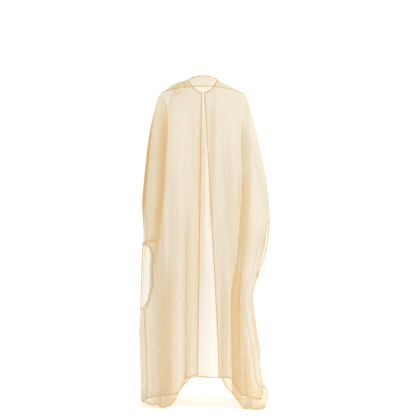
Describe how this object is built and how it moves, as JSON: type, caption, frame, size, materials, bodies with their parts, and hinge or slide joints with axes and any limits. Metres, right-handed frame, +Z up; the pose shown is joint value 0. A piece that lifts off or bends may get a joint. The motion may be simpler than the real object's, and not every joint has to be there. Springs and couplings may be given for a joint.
{
  "type": "sheer floor-length thobe",
  "caption": "Child's wide sheer robe for wearing over other clothes: open front, hanging sleeves with wrist openings in their outer edges, back yoke and trailing hem corners.",
  "frame": {"origin": "middle of the neck opening, level with the sides of the neck, where the wearer's neck and shoulders hold the garment", "axes": "+Z up, the front of the garment faces -Y, the wearer's right hand is at -X"},
  "size_m": [0.4607, 0.2751, 1.1573],
  "materials": {
    "sheer_cloth": "sheer golden beige chiffon, soft sheen",
    "doubled_cloth": "the same chiffon, two layers",
    "rolled_edge": "chiffon rolled into a narrow hem, several layers"
  },
  "bodies": {
    "root": {"back_panel": "sheer_cloth", "right_front_panel": "sheer_cloth", "left_front_panel": "sheer_cloth", "right_sleeve_back": "sheer_cloth", "right_sleeve_front": "sheer_cloth", "left_sleeve_back": "sheer_cloth", "left_sleeve_front": "sheer_cloth", "back_yoke": "doubled_cloth", "neck_binding": "rolled_edge", "right_front_edge": "rolled_edge", "left_front_edge": "rolled_edge", "back_hem": "rolled_edge", "right_front_hem": "rolled_edge", "left_front_hem": "rolled_edge", "right_sleeve_back_hem": "rolled_edge", "right_sleeve_front_hem": "rolled_edge", "left_sleeve_back_hem": "rolled_edge", "left_sleeve_front_hem": "rolled_edge", "right_wrist_hem_back": "rolled_edge", "right_wrist_hem_front": "rolled_edge", "left_wrist_hem_back": "rolled_edge", "left_wrist_hem_front": "rolled_edge"}
  },
  "joints": []
}
